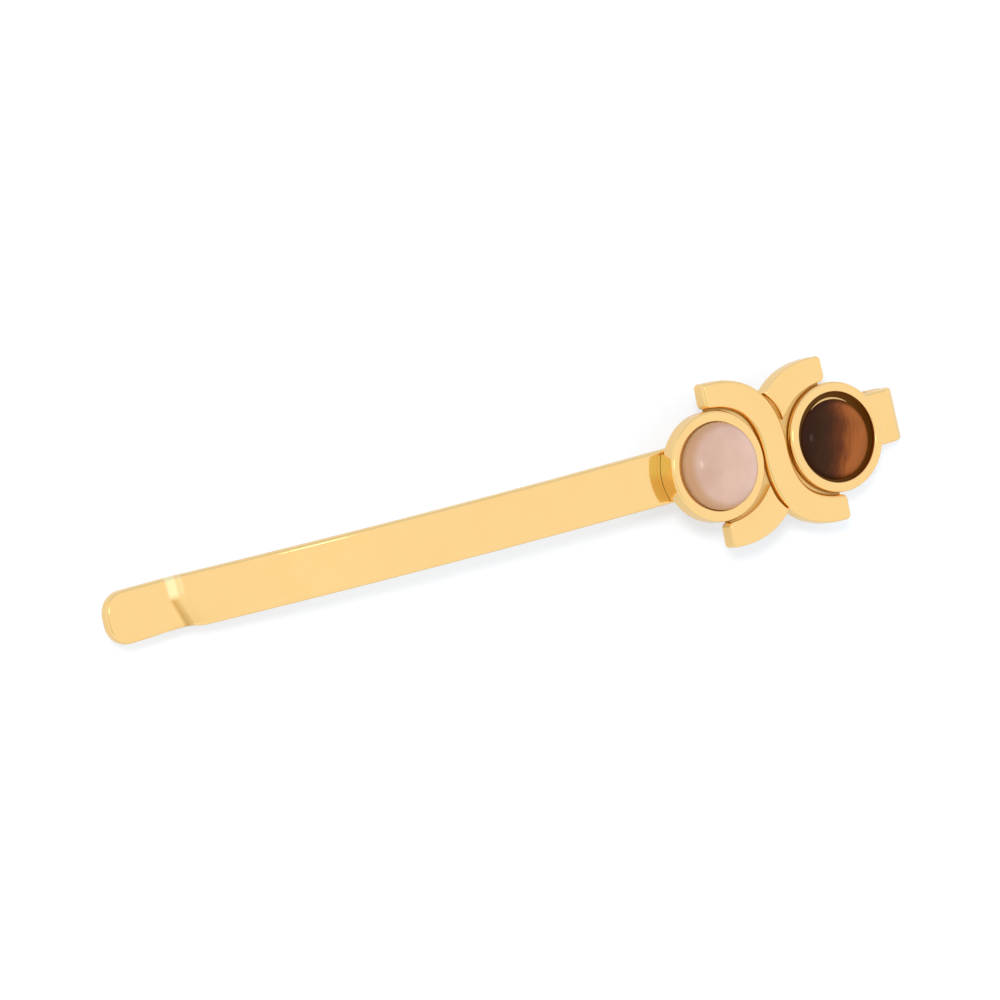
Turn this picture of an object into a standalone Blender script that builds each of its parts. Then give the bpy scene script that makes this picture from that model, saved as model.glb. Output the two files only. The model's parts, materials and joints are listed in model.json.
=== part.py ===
"""A hair slide: a folded, arched spring strip with two round stones set among crossing bands at its closed end.

The strip lies along X with its open end at -X. It is drawn in its own frame first, with the flat stretch of
the upper leg level and its top at Z = 0, and the whole slide is then tilted and lowered on to the table.
"""

import math

import bmesh
import bpy
from mathutils import Vector
from mathutils.geometry import convex_hull_2d, interpolate_bezier

MM = 0.001

# The folded strip
STRIP_THICKNESS = 0.75 * MM
STRIP_EDGE = 0.12 * MM
TOP_WIDTH = 3.23 * MM
SPRING_WIDTH = 2.8 * MM
FOLD_GAP = 0.8 * MM
FLAT_LENGTH = 21.3 * MM
ARCH_RADIUS = 80.0 * MM
ARCH_ANGLE = math.radians(20.0)
CREASE_RADIUS = 1.6 * MM
FLARE_ANGLE = math.radians(18.7)
FLARE_LENGTH = 5.0 * MM
TIP_CORNER = 1.42 * MM

# The lower leg
HINGE_GAP = 0.2 * MM
PINCH_GAP = 0.3 * MM
CRIMP_DEPTH = 0.42 * MM
CRIMP_LENGTH = 6.4 * MM
CRIMP_COUNT = 5
CRIMP_START = 7.5 * MM
PINCH_LENGTH = 7.0 * MM
SPRING_FLARE_ANGLE = math.radians(14.0)
SPRING_FLARE_LENGTH = 2.4 * MM
SPRING_TIP_CORNER = 0.95 * MM

# Where the ornament sits on the strip
ORNAMENT_FROM_FOLD = 9.25 * MM
ORNAMENT_OFF_CENTRE = -0.2 * MM
ORNAMENT_TURN = math.radians(-1.2)

# The collars round the stones
STONE_PITCH = 8.83 * MM
COLLAR_RADIUS = 3.35 * MM
COLLAR_WALL = 0.57 * MM
COLLAR_HEIGHT = 1.0 * MM
COLLAR_EDGE = 0.16 * MM
SEAM = 0.05 * MM

# The stones
STONE_CLEARANCE = 0.06 * MM
STONE_FOOT_BEVEL = 0.08 * MM
PINK_GIRDLE_HEIGHT = 0.88 * MM
PINK_DOME_HEIGHT = 1.15 * MM
BROWN_GIRDLE_HEIGHT = 0.2 * MM
BROWN_DOME_HEIGHT = 0.85 * MM

# The backing plate
PLATE_THICKNESS = 0.25 * MM
PLATE_INSET = 0.15 * MM
PLATE_SHOULDER = 0.28 * MM
PLATE_END_INSET = 0.5 * MM

# The bands
BAND_HEIGHT = 0.9 * MM
BAND_EDGE = 0.14 * MM
BAND_CORNER = 0.35 * MM
BAND_END_WIDTH = 1.53 * MM
BAND_END_GROOVE = 0.15 * MM
BAND_WAIST_GROOVE = 0.19 * MM
BAND_SWELL = 0.2 * MM
BAND_SQUARENESS = 0.68
ARM_ROOT_DROP = 0.78 * MM
ARM_ROOT_ANGLE = math.radians(45.0)
ARM_ROOT_HANDLE = 1.8 * MM
ARM_END_HANDLE = 1.9 * MM
ARM_DIP = 0.45 * MM
ARM_DIP_START = 1.0 * MM
ARM_DIP_LENGTH = 1.5 * MM

FOLD_STEPS = 12
ARCH_STEPS = 18
CREASE_STEPS = 4
TIP_STEPS = 5
CRIMP_STEPS = 10
BAND_STEPS = 24
RING_STEPS = 56
DOME_STEPS = 9
CORNER_STEPS = 3
BEVEL_STEPS = 2
SHARP_ANGLE = math.radians(35)
BEVEL_ANGLE = math.radians(40)
MERGE_DISTANCE = 1e-5 * MM

FOLD_RADIUS = (STRIP_THICKNESS + FOLD_GAP) / 2
PLATE_TOP = SEAM + PLATE_THICKNESS
COLLAR_FOOT = PLATE_TOP + SEAM
BAND_END = Vector((STONE_PITCH / 2, COLLAR_RADIUS + BAND_END_GROOVE + BAND_END_WIDTH / 2))
BAND_WAIST_WIDTH = STONE_PITCH - 2 * (COLLAR_RADIUS + BAND_WAIST_GROOVE)

GOLD = ("gold_plate", (0.98, 0.66, 0.28), 0.1, 1.0)
PINK = ("pink_stone", (0.74, 0.45, 0.38), 0.2, 0.0)
BROWN = ("brown_stone", (0.11, 0.03, 0.012), 0.15, 0.0)


def clear_scene():
    for old in list(bpy.data.objects):
        bpy.data.objects.remove(old, do_unlink=True)


def material(finish):
    name, colour, roughness, metallic = finish
    made = bpy.data.materials.new(name)
    made.use_nodes = True
    shader = made.node_tree.nodes["Principled BSDF"]
    shader.inputs["Base Color"].default_value = (*colour, 1.0)
    shader.inputs["Roughness"].default_value = roughness
    shader.inputs["Metallic"].default_value = metallic
    made.diffuse_color = (*colour, 1.0)
    return made


def place_object(name, mesh, finish, parent, location=(0, 0, 0), turn=0.0):
    """Puts a mesh in the scene under its parent, with its own material."""
    if not mesh.materials:
        mesh.materials.append(material(finish))
    piece = bpy.data.objects.new(name, mesh)
    piece.parent = parent
    piece.location = location
    piece.rotation_euler.z = turn
    bpy.context.collection.objects.link(piece)
    return piece


def finished_mesh(name, shape):
    """Turns a bmesh into a closed, outward-facing mesh that is smooth but for its real edges."""
    bmesh.ops.recalc_face_normals(shape, faces=shape.faces)
    mesh = bpy.data.meshes.new(name)
    shape.to_mesh(mesh)
    shape.free()
    mesh.shade_smooth()
    mesh.set_sharp_from_angle(angle=SHARP_ANGLE)
    return mesh


def add_edge_bevel(piece, width):
    bevel = piece.modifiers.new("rounded_edges", "BEVEL")
    bevel.width = width
    bevel.segments = BEVEL_STEPS
    bevel.limit_method = "ANGLE"
    bevel.angle_limit = BEVEL_ANGLE


def add_empty(name, parent, location=(0, 0, 0)):
    empty = bpy.data.objects.new(name, None)
    empty.parent = parent
    empty.location = location
    bpy.context.collection.objects.link(empty)
    return empty


def smooth_step(value):
    value = min(max(value, 0.0), 1.0)
    return value * value * (3 - 2 * value)


# Routes in the XZ plane. A station is a point and a heading: 0 runs to -X, and a positive heading slopes down.


def along(heading):
    return Vector((-math.cos(heading), -math.sin(heading)))


def upward(heading):
    return Vector((-math.sin(heading), math.cos(heading)))


def walk(start, heading, moves):
    """Stations along straights and bends, each given as its length, its turn and its number of steps."""
    point = Vector(start)
    stations = [(point.copy(), heading)]
    for length, turn, steps in moves:
        step_turn = turn / steps
        half = step_turn / 2
        chord = length / steps * (math.sin(half) / half if half else 1.0)
        for _ in range(steps):
            point = point + chord * along(heading + half)
            heading += step_turn
            stations.append((point.copy(), heading))
    return stations


def rounded_tip(station, half_width, corner):
    """Stations, with half widths, that round off the two corners at the end of a strip."""
    point, heading = station
    rows = []
    for step in range(1, TIP_STEPS + 1):
        angle = math.pi / 2 * step / TIP_STEPS
        reach = point + corner * math.sin(angle) * along(heading)
        rows.append((reach, heading, half_width - corner + corner * math.cos(angle)))
    return rows


def strip_mesh(name, rows, origin):
    """A sheet along rows of (point, heading, half width), as wide as each row says."""
    shape = bmesh.new()
    pairs = []
    for point, _, half_width in rows:
        x, z = point - origin
        pairs.append([shape.verts.new((x, side * half_width, z)) for side in (-1, 1)])
    for (a, b), (c, d) in zip(pairs, pairs[1:]):
        shape.faces.new((a, b, d, c))
    return finished_mesh(name, shape)


def add_strip(name, rows, parent, origin):
    mesh = strip_mesh(name, rows, origin)
    piece = place_object(name, mesh, GOLD, parent, location=(origin.x, 0, origin.y))
    sheet = piece.modifiers.new("sheet_thickness", "SOLIDIFY")
    sheet.thickness = STRIP_THICKNESS
    sheet.offset = 0
    sheet.use_even_offset = True
    add_edge_bevel(piece, STRIP_EDGE)
    return piece


def fold_foot():
    """The lower end of the fold, at the middle of the strip's thickness."""
    return Vector((ORNAMENT_FROM_FOLD, -STRIP_THICKNESS / 2 - 2 * FOLD_RADIUS))


def top_leg_rows():
    """From the lower end of the fold, round it, and along the upper leg to its flared tip."""
    arch = ARCH_RADIUS - STRIP_THICKNESS / 2
    stations = walk(
        fold_foot(),
        -math.pi,
        [
            (math.pi * FOLD_RADIUS, math.pi, FOLD_STEPS),
            (FLAT_LENGTH, 0.0, 4),
            (arch * ARCH_ANGLE, ARCH_ANGLE, ARCH_STEPS),
            (CREASE_RADIUS * FLARE_ANGLE, -FLARE_ANGLE, CREASE_STEPS),
            (FLARE_LENGTH - TIP_CORNER, 0.0, 2),
        ],
    )
    half = TOP_WIDTH / 2
    rows = [(point, heading, half) for point, heading in stations]
    return rows + rounded_tip(stations[-1], half, TIP_CORNER)


def leg_gap(distance, length):
    """The clear gap between the legs at a distance from the fold: crimps, then the pinch at the open end."""
    crimps_end = CRIMP_START + CRIMP_COUNT * CRIMP_LENGTH
    if CRIMP_START < distance < crimps_end:
        phase = 2 * math.pi * (distance - CRIMP_START) / CRIMP_LENGTH
        return FOLD_GAP - CRIMP_DEPTH * (1 - math.cos(phase)) / 2
    closing = smooth_step((distance - (length - PINCH_LENGTH)) / PINCH_LENGTH)
    return FOLD_GAP + (PINCH_GAP - FOLD_GAP) * closing


def spring_leg_rows():
    """The lower leg: it follows the upper one at the gap between them, and flares away at its tip."""
    arch = ARCH_RADIUS - STRIP_THICKNESS / 2
    length = FLAT_LENGTH + arch * ARCH_ANGLE
    steps = round(CRIMP_STEPS * length / CRIMP_LENGTH)
    flat_steps = round(steps * FLAT_LENGTH / length)
    upper = walk(
        (ORNAMENT_FROM_FOLD, -STRIP_THICKNESS / 2),
        0.0,
        [(FLAT_LENGTH, 0.0, flat_steps), (arch * ARCH_ANGLE, ARCH_ANGLE, steps - flat_steps)],
    )
    half = SPRING_WIDTH / 2
    rows = []
    for index, (point, heading) in enumerate(upper):
        if index <= flat_steps:
            distance = FLAT_LENGTH * index / flat_steps
        else:
            distance = FLAT_LENGTH + arch * heading
        drop = STRIP_THICKNESS + leg_gap(distance, length)
        rows.append((point - drop * upward(heading), heading, half))
    rows[0] = (rows[0][0] + HINGE_GAP * along(0.0), 0.0, half)
    point, heading, _ = rows[-1]
    flare = walk(
        point,
        heading,
        [
            (CREASE_RADIUS * SPRING_FLARE_ANGLE, SPRING_FLARE_ANGLE, CREASE_STEPS),
            (SPRING_FLARE_LENGTH - SPRING_TIP_CORNER, 0.0, 1),
        ],
    )
    rows += [(point, heading, half) for point, heading in flare[1:]]
    return rows + rounded_tip(flare[-1], half, SPRING_TIP_CORNER)


def add_legs(parent):
    """The upper leg with the fold, and the lower leg, whose origin is on the line that it swings about."""
    top_rows = top_leg_rows()
    spring_rows = spring_leg_rows()
    top_leg = add_strip("top_leg", top_rows, parent, Vector((0, 0)))
    hinge = fold_foot() + HINGE_GAP / 2 * along(0.0)
    spring_leg = add_strip("spring_leg", spring_rows, parent, hinge)
    return top_leg, spring_leg


# The ornament, seen from above: its stones are on X, either side of the middle.


def turned_mesh(name, profile, closed):
    """A round piece about Z from a profile of (radius, height) points."""
    shape = bmesh.new()
    verts = [shape.verts.new((radius, 0, height)) for radius, height in profile]
    pairs = list(zip(verts, verts[1:] + verts[:1])) if closed else list(zip(verts, verts[1:]))
    edges = [shape.edges.new(pair) for pair in pairs]
    bmesh.ops.spin(
        shape,
        geom=verts + edges,
        cent=(0, 0, 0),
        axis=(0, 0, 1),
        angle=2 * math.pi,
        steps=RING_STEPS,
        use_merge=True,
    )
    bmesh.ops.remove_doubles(shape, verts=shape.verts, dist=MERGE_DISTANCE)
    return finished_mesh(name, shape)


def corner_arc(centre, radius, start):
    """Points on a quarter circle of a profile, from the start angle on, anticlockwise."""
    points = []
    for step in range(CORNER_STEPS + 1):
        angle = start + math.pi / 2 * step / CORNER_STEPS
        points.append((centre[0] + radius * math.cos(angle), centre[1] + radius * math.sin(angle)))
    return points


def add_collar(name, centre, parent):
    """A round wall that stands on the plate, with a rounded rim."""
    inner = COLLAR_RADIUS - COLLAR_WALL
    top = COLLAR_FOOT + COLLAR_HEIGHT
    profile = [(inner, COLLAR_FOOT), (COLLAR_RADIUS, COLLAR_FOOT)]
    profile += corner_arc((COLLAR_RADIUS - COLLAR_EDGE, top - COLLAR_EDGE), COLLAR_EDGE, 0.0)
    profile += corner_arc((inner + COLLAR_EDGE, top - COLLAR_EDGE), COLLAR_EDGE, math.pi / 2)
    mesh = turned_mesh(name, profile, closed=True)
    return place_object(name, mesh, GOLD, parent, location=(centre, 0, 0))


def add_stone(name, finish, centre, girdle, dome, parent):
    """A flat-backed cabochon: a short upright edge under a dome whose section is half an ellipse."""
    radius = COLLAR_RADIUS - COLLAR_WALL - STONE_CLEARANCE
    foot = PLATE_TOP + SEAM
    profile = [(0, foot), (radius - STONE_FOOT_BEVEL, foot), (radius, foot + STONE_FOOT_BEVEL)]
    for step in range(DOME_STEPS):
        angle = math.pi / 2 * step / DOME_STEPS
        profile.append((radius * math.cos(angle), foot + girdle + dome * math.sin(angle)))
    profile.append((0, foot + girdle + dome))
    mesh = turned_mesh(name, profile, closed=False)
    return place_object(name, mesh, finish, parent, location=(centre, 0, 0))


def add_plate(parent):
    """The backing plate: a disc under each collar, joined by a broad middle that the bands stand on."""
    radius = COLLAR_RADIUS - PLATE_INSET
    shoulder = COLLAR_RADIUS + PLATE_SHOULDER
    reach = STONE_PITCH / 2 - PLATE_END_INSET
    opening = math.acos(PLATE_END_INSET / radius)
    steps = RING_STEPS // 2
    outline = []
    for side in (1, -1):
        outline.append((side * reach, -side * shoulder))
        for step in range(steps + 1):
            angle = (math.pi - opening) * (2 * step / steps - 1)
            x = side * (STONE_PITCH / 2 + radius * math.cos(angle))
            outline.append((x, side * radius * math.sin(angle)))
        outline.append((side * reach, side * shoulder))
    shape = bmesh.new()
    lower = shape.faces.new([shape.verts.new((x, y, SEAM)) for x, y in outline])
    raised = bmesh.ops.extrude_face_region(shape, geom=[lower])
    verts = [item for item in raised["geom"] if isinstance(item, bmesh.types.BMVert)]
    bmesh.ops.translate(shape, vec=(0, 0, PLATE_THICKNESS), verts=verts)
    return place_object("back_plate", finished_mesh("back_plate", shape), GOLD, parent)


def route_rows(points, widths):
    """Rows of (point, sideways, width) along a route in plan, square to it."""
    rows = []
    last = len(points) - 1
    for index, point in enumerate(points):
        run = points[min(index + 1, last)] - points[max(index - 1, 0)]
        rows.append((point, Vector((-run.y, run.x)).normalized(), widths[index]))
    return rows


def cut_square(rows, corner):
    """Ends a band square to its route, with its two corners rounded."""
    point, sideways, width = rows[-1]
    onward = Vector((sideways.y, -sideways.x))
    rows[-1] = (point - corner * onward, sideways, width)
    for step in range(1, TIP_STEPS + 1):
        angle = math.pi / 2 * step / TIP_STEPS
        centre = point - corner * (1 - math.sin(angle)) * onward
        rows.append((centre, sideways, width - 2 * corner * (1 - math.cos(angle))))
    return rows


def band_mesh(name, rows, foot, tops):
    """A band of rectangular section along its rows, from a level foot to the top given for each row."""
    shape = bmesh.new()
    rings = []
    for (point, sideways, width), top in zip(rows, tops):
        left = point + sideways * width / 2
        right = point - sideways * width / 2
        corners = ((left, foot), (right, foot), (right, top), (left, top))
        rings.append([shape.verts.new((*place, height)) for place, height in corners])
    for ring, onward in zip(rings, rings[1:]):
        for i in range(4):
            j = (i + 1) % 4
            shape.faces.new((ring[i], ring[j], onward[j], onward[i]))
    shape.faces.new(rings[0])
    shape.faces.new(rings[-1])
    return finished_mesh(name, shape)


def over_band_rows(extra_width=0.0):
    """The band that runs right through: over the pink stone, between the collars and under the brown one."""
    handle = BAND_SQUARENESS * BAND_END
    end = Vector((BAND_END.x, -BAND_END.y))
    points = interpolate_bezier(
        (0, 0), (0, -handle.y), (end.x - handle.x, end.y), end, BAND_STEPS + 1
    )
    widths = []
    for step in range(BAND_STEPS + 1):
        share = step / BAND_STEPS
        width = BAND_WAIST_WIDTH + (BAND_END_WIDTH - BAND_WAIST_WIDTH) * share
        widths.append(width + BAND_SWELL * math.sin(math.pi * share) + extra_width)
    half = cut_square(route_rows([point.xy for point in points], widths), BAND_CORNER)
    waist = half[0]
    half[0] = (waist[0], Vector((1, 0)), waist[2])
    mirrored = [(-point, sideways, width) for point, sideways, width in reversed(half[1:])]
    return mirrored + half


def arm_rows():
    """A short band from under the through band to beside the brown stone."""
    root = Vector((0, COLLAR_RADIUS - ARM_ROOT_DROP))
    lead = Vector((math.cos(ARM_ROOT_ANGLE), math.sin(ARM_ROOT_ANGLE))) * ARM_ROOT_HANDLE
    points = interpolate_bezier(
        root, root + lead, BAND_END - Vector((ARM_END_HANDLE, 0)), BAND_END, BAND_STEPS + 1
    )
    widths = []
    for step in range(BAND_STEPS + 1):
        share = step / BAND_STEPS
        widths.append(BAND_END_WIDTH + BAND_SWELL * math.sin(math.pi * share))
    return cut_square(route_rows([point.xy for point in points], widths), BAND_CORNER)


def arm_tops(rows):
    """The arm's top dips where it meets the through band, as if it passed below it."""
    tops = []
    distance = 0.0
    for index, (point, _, _) in enumerate(rows):
        if index:
            distance += (point - rows[index - 1][0]).length
        rise = smooth_step((distance - ARM_DIP_START) / ARM_DIP_LENGTH)
        tops.append(COLLAR_FOOT + BAND_HEIGHT - ARM_DIP * (1 - rise))
    return tops


def add_bands(parent):
    """The through band, and the two arms that butt against its sides."""
    top = COLLAR_FOOT + BAND_HEIGHT
    rows = over_band_rows()
    mesh = band_mesh("over_band", rows, COLLAR_FOOT, [top] * len(rows))
    over_band = place_object("over_band", mesh, GOLD, parent)
    add_edge_bevel(over_band, BAND_EDGE)

    rows = over_band_rows(2 * SEAM)
    margin = BAND_HEIGHT
    mesh = band_mesh("arm_cutter", rows, COLLAR_FOOT - margin, [top + margin] * len(rows))
    cutter = place_object("arm_cutter", mesh, GOLD, parent)
    cutter.display_type = "WIRE"
    cutter.hide_render = True

    rows = arm_rows()
    mesh = band_mesh("arm", rows, COLLAR_FOOT, arm_tops(rows))
    for name, turn in (("upper_arm", 0.0), ("lower_arm", math.pi)):
        arm = place_object(name, mesh, GOLD, parent, turn=turn)
        add_edge_bevel(arm, BAND_EDGE)
        butt = arm.modifiers.new("butt_joint", "BOOLEAN")
        butt.operation = "DIFFERENCE"
        butt.object = cutter


def add_ornament(parent):
    frame = add_empty("ornament_frame", parent, location=(0, ORNAMENT_OFF_CENTRE, 0))
    frame.rotation_euler.z = ORNAMENT_TURN
    half = STONE_PITCH / 2
    add_plate(frame)
    add_collar("pink_collar", -half, frame)
    add_collar("brown_collar", half, frame)
    add_stone("pink_stone", PINK, -half, PINK_GIRDLE_HEIGHT, PINK_DOME_HEIGHT, frame)
    add_stone("brown_stone", BROWN, half, BROWN_GIRDLE_HEIGHT, BROWN_DOME_HEIGHT, frame)
    add_bands(frame)


def resting_slope():
    """The slope of the line that the slide stands on: under its fold and under its open end."""
    under = []
    for rows in (top_leg_rows(), spring_leg_rows()):
        for point, heading, _ in rows:
            for side in (-1, 1):
                under.append(point + side * STRIP_THICKNESS / 2 * upward(heading))
    hull = [under[index] for index in convex_hull_2d(under)]
    middle = sum((point.x for point in under), 0.0) / len(under)
    chords = []
    for a, b in zip(hull, hull[1:] + hull[:1]):
        if min(a.x, b.x) < middle < max(a.x, b.x):
            chords.append(((a.y + b.y) / 2, (b.y - a.y) / (b.x - a.x)))
    return min(chords)[1]


def stand_on_table(frame):
    """Tilts the slide on to the points that it rests on, and centres it over the origin."""
    frame.rotation_euler.y = math.atan(resting_slope())
    bpy.context.view_layer.update()
    depsgraph = bpy.context.evaluated_depsgraph_get()
    corners = []
    for piece in bpy.data.objects:
        if piece.type == "MESH" and not piece.hide_render:
            seen = piece.evaluated_get(depsgraph)
            corners += [seen.matrix_world @ vert.co for vert in seen.data.vertices]
    low = Vector(min(corner[axis] for corner in corners) for axis in range(3))
    high = Vector(max(corner[axis] for corner in corners) for axis in range(3))
    frame.location = (-(low.x + high.x) / 2, -(low.y + high.y) / 2, -low.z)
    bpy.context.view_layer.update()


def build():
    clear_scene()
    frame = add_empty("slide_frame", None)
    add_legs(frame)
    add_ornament(frame)
    stand_on_table(frame)


build()
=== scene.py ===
# %% [markdown]
# # A jewelled hair slide
#
# The real slide is a strip of spring metal, folded on itself so that its two legs grip a lock of hair.
# A small cast ornament is soldered over the fold: two round stones in collars, with crossing bands
# round them. All of the metal is polished and gold plated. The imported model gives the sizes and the
# places, and this file gives the looks.

# %% Load the fixed frame
import json
import math

import bmesh
import bpy
from mathutils import Matrix, Vector
from mathutils.geometry import interpolate_bezier


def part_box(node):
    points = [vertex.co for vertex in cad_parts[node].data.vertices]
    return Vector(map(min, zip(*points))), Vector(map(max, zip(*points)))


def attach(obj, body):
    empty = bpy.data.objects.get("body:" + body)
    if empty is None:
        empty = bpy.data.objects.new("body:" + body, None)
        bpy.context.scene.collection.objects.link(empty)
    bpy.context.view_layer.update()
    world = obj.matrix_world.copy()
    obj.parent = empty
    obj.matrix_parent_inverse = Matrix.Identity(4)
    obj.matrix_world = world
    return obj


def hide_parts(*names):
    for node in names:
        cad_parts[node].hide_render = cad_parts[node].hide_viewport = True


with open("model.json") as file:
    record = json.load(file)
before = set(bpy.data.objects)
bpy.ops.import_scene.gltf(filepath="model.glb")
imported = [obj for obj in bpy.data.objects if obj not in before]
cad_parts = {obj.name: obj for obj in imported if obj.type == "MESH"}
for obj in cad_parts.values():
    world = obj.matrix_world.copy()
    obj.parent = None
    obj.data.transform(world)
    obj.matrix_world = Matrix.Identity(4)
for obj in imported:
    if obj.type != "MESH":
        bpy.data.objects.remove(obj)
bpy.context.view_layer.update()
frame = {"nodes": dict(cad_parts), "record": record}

MM = 0.001

# %% [markdown]
# The slide lies tilted, because it rests under its fold and under its open end. The record's one mount,
# a flat stretch under the lower leg, gives that tilt. Everything on the strip is drawn in a frame whose
# level plane is the top of the bar. The ornament has a frame of its own, turned a little on the strip,
# and the centres of the two collars give it. Working in these frames keeps every size below a plain
# one.

# %% Work out the strip's frame and the ornament's
STRIP_THICKNESS = 0.75 * MM
FOLD_GAP = 0.8 * MM
SEAM = 0.05 * MM
PLATE_TOP = SEAM + 0.25 * MM
FOOT = PLATE_TOP + SEAM


def middle(node):
    low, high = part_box(node)
    return (low + high) / 2


def frame_matrix(origin, along, up):
    """A frame with X along a line, Z up and Y square to both."""
    up = up.normalized()
    side = up.cross(along).normalized()
    turned = Matrix((side.cross(up), side, up)).transposed().to_4x4()
    return Matrix.Translation(origin) @ turned


mount = frame["record"]["mounts"][0]
bar_normal = -Vector(mount["axis"])
on_bar_top = Vector(mount["pos_m"]) + bar_normal * (2 * STRIP_THICKNESS + FOLD_GAP)
pink_middle, brown_middle = middle("pink_collar"), middle("brown_collar")
centre = (pink_middle + brown_middle) / 2
centre -= bar_normal * (centre - on_bar_top).dot(bar_normal)
ornament_frame = frame_matrix(centre, brown_middle - pink_middle, bar_normal)
on_bar_axis = Vector((centre.x, middle("top_leg").y, centre.z))
strip_frame = frame_matrix(on_bar_axis, Vector((0, 1, 0)).cross(bar_normal), bar_normal)
STONE_PITCH = (brown_middle - pink_middle).length
print("tilt in degrees:", round(math.degrees(bar_normal.angle(Vector((0, 0, 1)))), 2))
print("stone pitch in mm:", round(STONE_PITCH / MM, 3))

# %% [markdown]
# The camera looks down on the slide from a metre away through a long lens, as for a catalogue picture,
# so the perspective is slight. It is described as a photographer would: the point it looks at, how far
# off it is, from which side, how high, and how far it is rolled on its axis.

# %% Set up the camera
LOOK_AT = Vector((-1.75, 1.50, 5.50)) * MM
CAMERA_DISTANCE = 0.989
CAMERA_AZIMUTH = math.radians(170.58)
CAMERA_ELEVATION = math.radians(63.29)
CAMERA_ROLL = math.radians(85.8)
LENS_MM = 597.6


def direction(azimuth, elevation):
    flat = math.cos(elevation)
    return Vector((flat * math.cos(azimuth), flat * math.sin(azimuth), math.sin(elevation)))


towards_camera = direction(CAMERA_AZIMUTH, CAMERA_ELEVATION)
camera_data = bpy.data.cameras.new("catalogue_lens")
camera_data.lens = LENS_MM
camera_data.sensor_width = 36
camera_data.clip_start = 0.01
camera_data.clip_end = 20
camera = bpy.data.objects.new("catalogue_camera", camera_data)
level = towards_camera.to_track_quat("Z", "Y").to_matrix().to_4x4()
roll = Matrix.Rotation(CAMERA_ROLL, 4, "Z")
camera.matrix_world = Matrix.Translation(LOOK_AT + towards_camera * CAMERA_DISTANCE) @ level @ roll
bpy.context.collection.objects.link(camera)
bpy.context.scene.camera = camera
print("camera at", [round(value, 3) for value in camera.matrix_world.translation])

# %% [markdown]
# Polished gold has no colour of its own to speak of: it shows what is around it. In a white tent it
# turns to a pale, even yellow, and where gold mirrors gold it turns deep and warm. So the world here is
# a white dome with one dimmer side, where a photographer's tent is open, and two small dimmer patches
# overhead.
#
# A shader is a network of small nodes, and so is the world. Each helper adds one node, feeds it and
# returns what comes out, so that a whole network reads like a formula. A node is fed with plain values
# or with what other nodes give.

# %% Helpers that wire nodes
def feed(tree, socket, value):
    """Links what another node gives to the socket, or sets a plain value there."""
    if isinstance(value, bpy.types.NodeSocket):
        tree.links.new(value, socket)
    else:
        socket.default_value = value


def map_range(tree, value, low, high, to_low, to_high, smooth=False):
    made = tree.nodes.new("ShaderNodeMapRange")
    if smooth:
        made.interpolation_type = "SMOOTHSTEP"
    sockets = ("Value", "From Min", "From Max", "To Min", "To Max")
    for socket, given in zip(sockets, (value, low, high, to_low, to_high)):
        feed(tree, made.inputs[socket], given)
    return made.outputs["Result"]


def mix_colours(tree, share, first, second, blend="MIX"):
    made = tree.nodes.new("ShaderNodeMix")
    made.data_type = "RGBA"
    made.blend_type = blend
    for socket, given in (("Factor", share), ("A", first), ("B", second)):
        feed(tree, made.inputs[socket], given)
    return made.outputs["Result"]


def maths(tree, operation, *values, clamp=False):
    made = tree.nodes.new("ShaderNodeMath")
    made.operation = operation
    made.use_clamp = clamp
    for socket, given in zip(made.inputs, values):
        feed(tree, socket, given)
    return made.outputs["Value"]


def vector_maths(tree, operation, *values):
    """Some operations give a Vector and others a Value, so all outputs are returned."""
    made = tree.nodes.new("ShaderNodeVectorMath")
    made.operation = operation
    for socket, given in zip(made.inputs, values):
        feed(tree, socket, given)
    return made.outputs


def split_xyz(tree, vector):
    made = tree.nodes.new("ShaderNodeSeparateXYZ")
    feed(tree, made.inputs["Vector"], vector)
    return made.outputs


# %% [markdown]
# Each zone of the tent is a direction with an inner and an outer angle: the tint is full within the
# first and gone beyond the second. Where the camera looks straight at the world, it is plain white.

# %% Light the tent
WHITE = (1.0, 1.0, 1.0, 1.0)
TENT_ZONES = [
    # towards, full within, gone beyond (degrees), tint
    (Vector((0.30, 0.95, 0.05)), 22, 68, (0.76, 0.83, 0.96)),
    (Vector((-0.36, -0.30, 0.88)), 8, 24, (0.74, 0.78, 0.68)),
    (Vector((-0.36, 0.22, 0.90)), 8, 20, (0.80, 1.00, 1.00)),
]
scene = bpy.context.scene
scene.view_settings.view_transform = "Standard"


def light_tent():
    tent = bpy.data.worlds.new("white_tent")
    tent.use_nodes = True
    tree = tent.node_tree
    tree.nodes.clear()
    around = tree.nodes.new("ShaderNodeTexCoord").outputs["Generated"]
    colour = WHITE
    for towards, inner, outer, tint in TENT_ZONES:
        facing = vector_maths(tree, "DOT_PRODUCT", around, towards.normalized())["Value"]
        edges = math.cos(math.radians(outer)), math.cos(math.radians(inner))
        share = map_range(tree, facing, *edges, 0.0, 1.0, smooth=True)
        colour = mix_colours(tree, share, colour, (*tint, 1.0), "MULTIPLY")
    seen = tree.nodes.new("ShaderNodeLightPath").outputs["Is Camera Ray"]
    sky = tree.nodes.new("ShaderNodeBackground")
    feed(tree, sky.inputs["Color"], mix_colours(tree, seen, colour, WHITE))
    out = tree.nodes.new("ShaderNodeOutputWorld")
    feed(tree, out.inputs["Surface"], sky.outputs["Background"])
    return tent


scene.world = light_tent()
print("tent has", len(TENT_ZONES), "dimmer zones")

# %% [markdown]
# A soft lamp from the upper left lays the shadow, and stays out of the reflections. A small round one
# overhead puts the little highlight on each stone.

# %% Hang the lamps
KEY_FROM = Vector((-0.44, 0.24, 0.865))
KEY_STRENGTH = 1.1
KEY_SOFTNESS = math.radians(10)
SPOT_FROM = Vector((0.14, 0.06, 0.99)).normalized()
SPOT_DISTANCE = 0.6
SPOT_WIDTH = 0.07
SPOT_RADIANCE = 7.0
SPOT_COLOUR = (1.0, 0.88, 0.80)


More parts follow.
